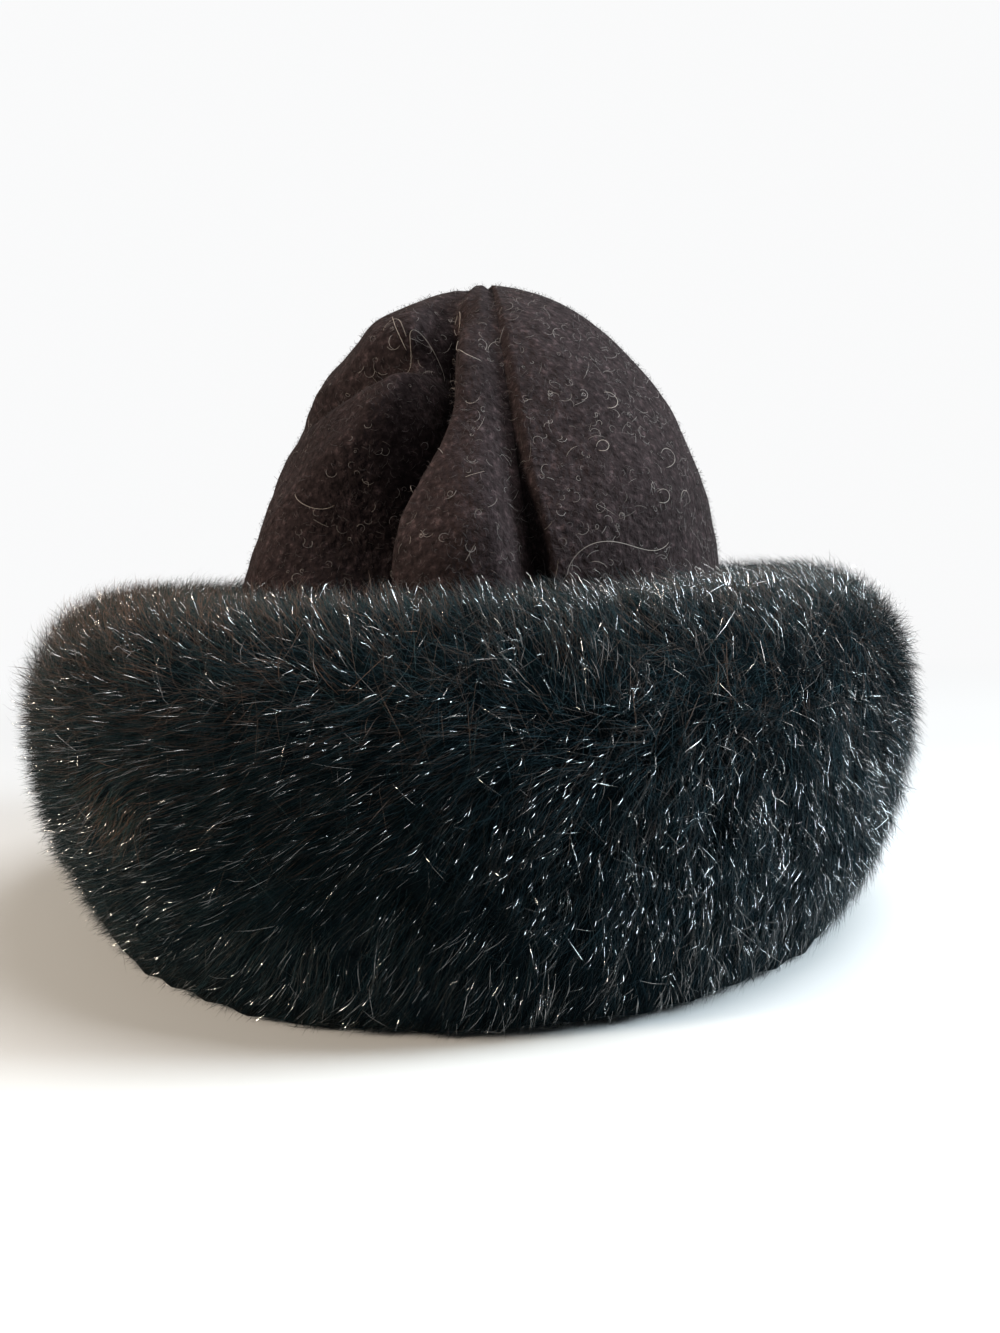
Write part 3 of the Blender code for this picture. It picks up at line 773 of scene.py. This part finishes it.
def tuft_noise(spread, angle, place):
    """Random numbers shared by the strands of one tuft, and how far each strand is from its tuft's middle."""
    columns = int(TUFT_CIRCLE / TUFT_SPACING)
    rows = int(CUFF_PROFILE / TUFT_SPACING)
    jitter = spread.uniform(-0.5, 0.5, (rows + 2, columns, 2)) * (0.4, 1.0)
    shared = spread.uniform(-1, 1, (rows + 2, columns, 4))
    x, y = angle / 360 * columns, place * rows
    best = np.full(angle.shape, 9.0)
    off = np.zeros((len(angle), 2))
    own = np.zeros((len(angle), 4))
    for dx in (-1, 0, 1):
        for dy in (-1, 0, 1):
            cx, cy = np.floor(x).astype(int) + dx, np.clip(np.floor(y).astype(int) + dy, 0, rows + 1)
            middle = np.stack((cx + 0.5, cy + 0.5), axis=-1) + jitter[cy, cx % columns]
            gap = middle - np.stack((x, y), axis=-1)
            far = np.hypot(gap[:, 0], gap[:, 1])
            nearer = far < best
            best = np.where(nearer, far, best)
            off[nearer] = gap[nearer]
            own[nearer] = shared[cy[nearer], cx[nearer] % columns]
    return off * (360 / columns, 1 / rows), own


def angles_round(spread, count, more_right):
    """Random angles round the cuff, closer together towards +X."""
    turn = np.linspace(0, 360, 361)
    density = 1 + more_right * smooth(np.sin(np.radians(turn)) + 0.2)
    total = np.concatenate(([0.0], np.cumsum((density[1:] + density[:-1]) / 2)))
    return np.interp(spread.uniform(0, 1, count), total / total[-1], turn)


def between(sides, loose):
    """A number between the left's and the right's."""
    return sides.left + (sides.right - sides.left) * loose


def way_along(length, lift):
    """How far along the backing strands reach that are this long and rise this far."""
    return np.sqrt(np.maximum(length**2 - lift**2, (STEEPEST * length) ** 2))


def pile_paths(spread, pile):
    """Strands of pile: each rises from the backing and leans along the nap, its tip drawn to its tuft."""
    count = pile.count
    angle = angles_round(spread, count, pile.more_right)
    place = spread.uniform(0.0, 1.0, count)
    off, own = tuft_noise(np.random.default_rng(TUFT_SEED), angle, place)
    row = {name: spline(column(NAP_ROWS, "place"), column(NAP_ROWS, name), place) for name in NapRow._fields}
    side = np.sin(np.radians(angle))
    loose = smooth((side + 0.4) / 0.9)
    astray = spread.uniform(0, 1, count) < row["astray"] * (0.5 + 0.5 * loose)
    strand_turn = np.where(astray, ASTRAY_TURN, between(STRAND_TURN, loose))
    turn = between(TUFT_TURN, loose) * own[:, 0] + spread.normal(0, 1, count) * strand_turn
    for parting in PARTINGS:
        across = np.abs(angle_from(angle, parting.angle)) / parting.angle_reach
        along = np.abs(place - parting.place) / parting.place_reach
        turn = turn + parting.turn * (1 - smooth(across)) * (1 - smooth(along))
    nap_up, nap_round = row["up"] * (1 + NAP_SIDE_UP * side), row["round"] * (1 + NAP_SIDE_ROUND * side)
    heading = np.arctan2(nap_up, nap_round) + np.radians(turn)
    length = pile.length * spread.uniform(0.75, 1.15, count)
    length = length * (1 + 0.12 * own[:, 1]) * np.where(astray, 1.25, 1.0)
    share = row["lift"] * (0.90 + 0.12 * own[:, 2] + spread.normal(0, 0.12, count))
    lift = FUR_RELIEF * np.clip(share, 0.25, 1.25)
    travel = way_along(length, lift)
    drawn_round = off[:, 0] * between(DRAWN_ROUND, loose) * (1 + 0.3 * own[:, 3])
    drawn_up = off[:, 1] * (DRAWN_UP + 0.1 * own[:, 3])
    around = np.linalg.norm(cuff_point(angle, place)[:, :2], axis=1)
    paths = np.empty((count, pile.steps, 3))
    for k in range(pile.steps):
        s = k / (pile.steps - 1)
        along = travel * s**1.6
        rise = lift * (1 - (1 - s) ** 1.7) + ROOT_RISE
        at_angle = angle - np.degrees(along * np.cos(heading) / around) + drawn_round * s**1.5
        at_place = place + along * np.sin(heading) / CUFF_PROFILE + drawn_up * s**1.5
        at_place = np.clip(at_place, 0.0, 1.0)
        paths[:, k] = cuff_point(at_angle, at_place) + cuff_normal(at_angle, at_place) * rise[:, None]
    return angle, place, paths


def keep_clear(paths, spread):
    """Keeps strands above the floor and out of the wool."""
    z = paths[..., 2]
    floor = spread.uniform(LEAST_OFF_FLOOR, MOST_OFF_FLOOR, len(paths))[:, None] * MM
    paths[..., 2] = np.maximum(z, floor)
    angle = np.degrees(np.arctan2(paths[..., 0], -paths[..., 1]))
    wall = wool_wall(angle, paths[..., 2])
    wall_far = np.hypot(wall[..., 0], wall[..., 1]) + OFF_WOOL
    far = np.hypot(paths[..., 0], paths[..., 1])
    push = np.where(far < wall_far, wall_far / np.maximum(far, 1e-6), 1.0)
    paths[..., 0] *= push
    paths[..., 1] *= push
    return paths


def roll(directions, axes, angles):
    """Vectors turned about their strands by an angle each."""
    c, s = np.cos(angles)[:, None], np.sin(angles)[:, None]
    dot = np.sum(directions * axes, axis=1, keepdims=True)
    return directions * c + np.cross(axes, directions) * s + axes * dot * (1 - c)


def fur_spots(spread, angle, place):
    """Where strands of fur lie in their map: across it by their angle, and in a row by their place, with a
    painted highlight about the first parting.
    """
    count = len(angle)
    across = angle % 360 / 360 * ONCE_ROUND + spread.uniform(0, 1 - ONCE_ROUND, count)
    row = np.clip(np.floor(place * MAP_ROWS + spread.uniform(-0.6, 0.6, count)), 0, MAP_ROWS - 1)
    painted_highlight = PARTINGS[0]  # painted highlight: strands about the first parting take the palest row of the map
    off_angle = angle_from(angle, painted_highlight.angle) / painted_highlight.angle_reach
    off_place = (place - painted_highlight.place) / painted_highlight.place_reach
    near = 1 - smooth(np.hypot(off_angle, off_place))
    row = np.where(spread.uniform(0, 1, count) < near, MAP_ROWS - 1, row)
    return np.stack((across, row), axis=-1)


def make_pile(pile, material):
    """One part of the cuff's pile, spread over the whole cuff."""
    spread = np.random.default_rng(pile.seed)
    angle, place, paths = pile_paths(spread, pile)
    paths = keep_clear(paths, spread)
    chord = unit(paths[:, -1] - paths[:, 0])
    out = roll(cuff_normal(angle, place), chord, spread.uniform(-1.1, 1.1, pile.count))
    widths = pile.width * spread.uniform(0.65, 1.25, pile.count)
    piece = make_ribbons(pile.name, paths, widths, out, material, fur_spots(spread, angle, place))
    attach(piece, "root")


def make_wisps(material):
    """Long soft hairs that stand up and out of the cuff's upper edge."""
    spread = np.random.default_rng(WISP_SEED)
    at_left = spread.uniform(0, 1, WISPS) < WISPS_AT_LEFT
    left_angle = spread.normal(WISP_ANGLE, WISP_ANGLE_SPREAD, WISPS)
    angle = np.where(at_left, left_angle, spread.uniform(0, 360, WISPS))
    place = np.clip(spread.normal(WISP_PLACE, WISP_PLACE_SPREAD, WISPS), 0.5, 0.85)
    heading = np.radians(spread.normal(WISP_HEADING, WISP_HEADING_SPREAD, WISPS))
    length = spread.uniform(15, 24, WISPS) * MM
    lift = FUR_RELIEF * spread.uniform(1.0, 1.45, WISPS)
    travel = way_along(length, lift)
    around = np.linalg.norm(cuff_point(angle, place)[:, :2], axis=1)
    paths = np.empty((WISPS, WISP_STEPS, 3))
    for k in range(WISP_STEPS):
        s = k / (WISP_STEPS - 1)
        along = travel * s**1.5
        at_angle = angle - np.degrees(along * np.cos(heading) / around)
        at_place = np.clip(place + along * np.sin(heading) / CUFF_PROFILE, 0.0, 1.0)
        rise = lift * (1 - (1 - s) ** 1.5) + ROOT_RISE
        paths[:, k] = cuff_point(at_angle, at_place) + cuff_normal(at_angle, at_place) * rise[:, None]
    paths = keep_clear(paths, spread)
    widths = WISP_WIDTH * spread.uniform(0.6, 1.1, WISPS)
    spots = fur_spots(spread, angle, place)
    piece = make_ribbons("fur_wisps", paths, widths, cuff_normal(angle, place), material, spots)
    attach(piece, "root")


def crown_spots(spread, count, grids):
    """Random places on the wool that shows, with the ways round and out there."""
    corner, edge_a, edge_b = [], [], []
    for grid in grids:
        a, b, c = grid[:-1, :-1], grid[:-1, 1:], grid[1:, :-1]
        corner.append(a.reshape(-1, 3))
        edge_a.append((b - a).reshape(-1, 3))
        edge_b.append((c - a).reshape(-1, 3))
    corner, edge_a, edge_b = np.concatenate(corner), np.concatenate(edge_a), np.concatenate(edge_b)
    normal = np.cross(edge_a, edge_b)
    weight = np.linalg.norm(normal, axis=1) * (corner[:, 2] > FUZZ_LOWEST)
    picked = spread.choice(len(corner), count, p=weight / weight.sum())
    s, t = spread.uniform(0, 1, (2, count, 1))
    point = corner[picked] + edge_a[picked] * s + edge_b[picked] * t
    return point, unit(edge_a[picked]), unit(normal[picked])


def curly_paths(spread, root, side, out, length, rise, curl, steps):
    """Short fibres that leave the wool at their root and curl over it."""
    heading = spread.uniform(0, 2 * math.pi, len(root))
    other = np.cross(out, side)
    bend = spread.normal(0, curl, len(root))
    paths = np.empty((len(root), steps, 3))
    paths[:, 0] = root - out * 0.2 * MM
    at = root.copy()
    for k in range(1, steps):
        share = k / (steps - 1)
        way = heading + bend * share
        flat = side * np.cos(way)[:, None] + other * np.sin(way)[:, None]
        step = unit(flat + out * (rise * (1.15 - share))[:, None])
        at = at + step * (length / (steps - 1))[:, None]
        paths[:, k] = at
    return paths


def more_at_right(point):
    """A share from 0.25 to 1 that grows towards +X."""
    return 0.25 + 0.75 * smooth((point[:, 0] + 50 * MM) / (120 * MM))


def fibre_spots(across):
    """Where the wool's fibres lie in their map: all in its lowest row."""
    return np.stack((across, np.zeros(len(across))), axis=-1)


def make_fuzz(fuzz, grids, material):
    """Loose fibres over the wool."""
    spread = np.random.default_rng(fuzz.seed)
    root, side, out = crown_spots(spread, fuzz.count, grids)
    if fuzz.at_right:
        kept = spread.uniform(0, 1, fuzz.count) < more_at_right(root)
        root, side, out = root[kept], side[kept], out[kept]
    lengths = fuzz.length * spread.uniform(0.5, 1.5, len(root))
    rises = fuzz.rise * spread.uniform(0.2, 1.8, len(root))
    paths = curly_paths(spread, root, side, out, lengths, rises, fuzz.curl, fuzz.steps)
    widths = fuzz.width * spread.uniform(0.7, 1.3, len(root))
    spots = fibre_spots(spread.uniform(0.01, 0.99, len(root)))
    piece = make_ribbons(fuzz.name, paths, widths, out, material, spots)
    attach(piece, "root")


def make_strays(material):
    """The long pale fibres of STRAYS, each followed over the wool from its root."""
    paths, outs = np.empty((len(STRAYS), STRAY_STEPS, 3)), np.empty((len(STRAYS), 3))
    for number, stray in enumerate(STRAYS):
        angle, height = stray.angle, stray.height
        for k in range(STRAY_STEPS):
            s = k / (STRAY_STEPS - 1)
            place = np.interp(height, column(CROWN_SECTIONS, "height"), range(len(CROWN_SECTIONS)))
            out = crown_normal(np.array(angle), np.array(place))
            raised = (0.5 + stray.lift * math.sin(math.pi * s) ** 0.7) * MM
            paths[number, k] = crown_point(np.array(angle), np.array(place)) + out * raised
            way = math.radians(stray.heading + stray.bend * s + stray.wave * math.sin(math.pi * s))
            step = stray.length * MM / STRAY_STEPS
            girth = CROWN_HALF_WIDTH * section_at("width", place)
            angle += math.degrees(step * math.sin(way) / girth)
            height += step * math.cos(way) / CROWN_HEIGHT
        outs[number] = out
    widths = np.full(len(STRAYS), STRAY_WIDTH)
    spots = fibre_spots(np.linspace(0.05, 0.95, len(STRAYS)))
    piece = make_ribbons("stray_fibres", paths, widths, outs, material, spots)
    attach(piece, "root")


def make_floor():
    """A plain pale floor that fades into the background."""
    n = Nodes("floor")
    n.put(n.shader.inputs["Base Color"], FLOOR_COLOUR)
    n.put(n.shader.inputs["Roughness"], 0.9)
    n.put(n.shader.inputs["Specular IOR Level"], 0.1)
    away = n.add("ShaderNodeVectorMath", Vector=n.add("ShaderNodeTexCoord").outputs["Object"])
    away.operation = "LENGTH"
    fade = n.ramp(away.outputs["Value"], *((far, grey(share)) for far, share in FLOOR_FADE))
    glow = n.add("ShaderNodeEmission", Color=BACKGROUND, Strength=1.0)
    both = n.add("ShaderNodeMixShader", Fac=fade)
    n.put(both.inputs[1], n.shader.outputs[0])
    n.put(both.inputs[2], glow.outputs[0])
    n.put(n.tree.nodes["Material Output"].inputs["Surface"], both.outputs[0])
    corners = ((-1.0, -1.0, 0.0), (1.0, -1.0, 0.0), (1.0, 1.0, 0.0), (-1.0, 1.0, 0.0))
    floor_points = FLOOR_HALF_SIZE * np.array(corners)
    link(mesh_from("floor", floor_points, [(0, 1, 2, 3)]), "floor", n.material)


def make_world():
    """A pale background that is seen, and a weaker, cooler one that lights."""
    world = bpy.data.worlds.new("studio")
    world.use_nodes = True
    tree = world.node_tree
    seen, lit = tree.nodes["Background"], tree.nodes.new("ShaderNodeBackground")
    seen.inputs[0].default_value, seen.inputs[1].default_value = BACKGROUND, 1.0
    lit.inputs[0].default_value, lit.inputs[1].default_value = SKY_LIGHT, SKY_STRENGTH
    both = tree.nodes.new("ShaderNodeMixShader")
    tree.links.new(tree.nodes.new("ShaderNodeLightPath").outputs["Is Camera Ray"], both.inputs[0])
    tree.links.new(lit.outputs[0], both.inputs[1])
    tree.links.new(seen.outputs[0], both.inputs[2])
    tree.links.new(both.outputs[0], tree.nodes["World Output"].inputs["Surface"])
    bpy.context.scene.world = world


def make_lamps():
    """Soft lamps that look at the hat."""
    for lamp in LAMPS:
        light = bpy.data.lights.new(lamp.name, "AREA")
        light.shape, light.size, light.size_y = "RECTANGLE", lamp.width, lamp.height
        light.energy, light.color = lamp.power, lamp.colour
        holder = bpy.data.objects.new(lamp.name, light)
        holder.location = lamp.place
        ahead = Vector(lamp.aim) - Vector(lamp.place)
        holder.rotation_euler = ahead.to_track_quat("-Z", "Y").to_euler()
        bpy.context.scene.collection.objects.link(holder)


def make_camera():
    """The camera at the photograph's angle: close, low, looking a little down, with its slight roll."""
    ahead = Vector((0, math.cos(CAMERA_DOWN), -math.sin(CAMERA_DOWN)))
    over = Vector((0, math.sin(CAMERA_DOWN), math.cos(CAMERA_DOWN)))
    right = Vector((1, 0, 0))
    image_x = right * math.cos(CAMERA_ROLL) + over * math.sin(CAMERA_ROLL)
    image_y = over * math.cos(CAMERA_ROLL) - right * math.sin(CAMERA_ROLL)
    lens = bpy.data.cameras.new("camera")
    lens.sensor_width = CAMERA_SENSOR
    lens.lens = CAMERA_LENS
    lens.clip_start = CAMERA_NEAREST
    holder = bpy.data.objects.new("camera", lens)
    turn = Matrix((image_x, image_y, -ahead)).transposed().to_4x4()
    holder.matrix_world = Matrix.Translation(CAMERA_PLACE) @ turn
    bpy.context.scene.collection.objects.link(holder)
    bpy.context.scene.camera = holder


def main():
    make_camera()
    make_floor()
    make_world()
    make_lamps()
    bpy.context.scene.view_settings.view_transform = "Standard"

    wool = wool_material()
    grids = []
    for name, first, second in GORES:
        piece, grid = make_gore(name.replace("gore", "wool"), first, second, wool)
        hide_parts(name)
        grids.append(grid)

    depth = make_fur_depth(backing_material())
    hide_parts("fur_cuff")
    strands = {name: strand_material(name) for name in STRAND_LOOKS}
    for pile in PILES:
        make_pile(pile, strands[pile.look])
    make_wisps(strands["pile_brown"])
    for fuzz in FUZZES:
        make_fuzz(fuzz, grids, strands[fuzz.look])
    make_strays(strands["stray_fibres"])


main()
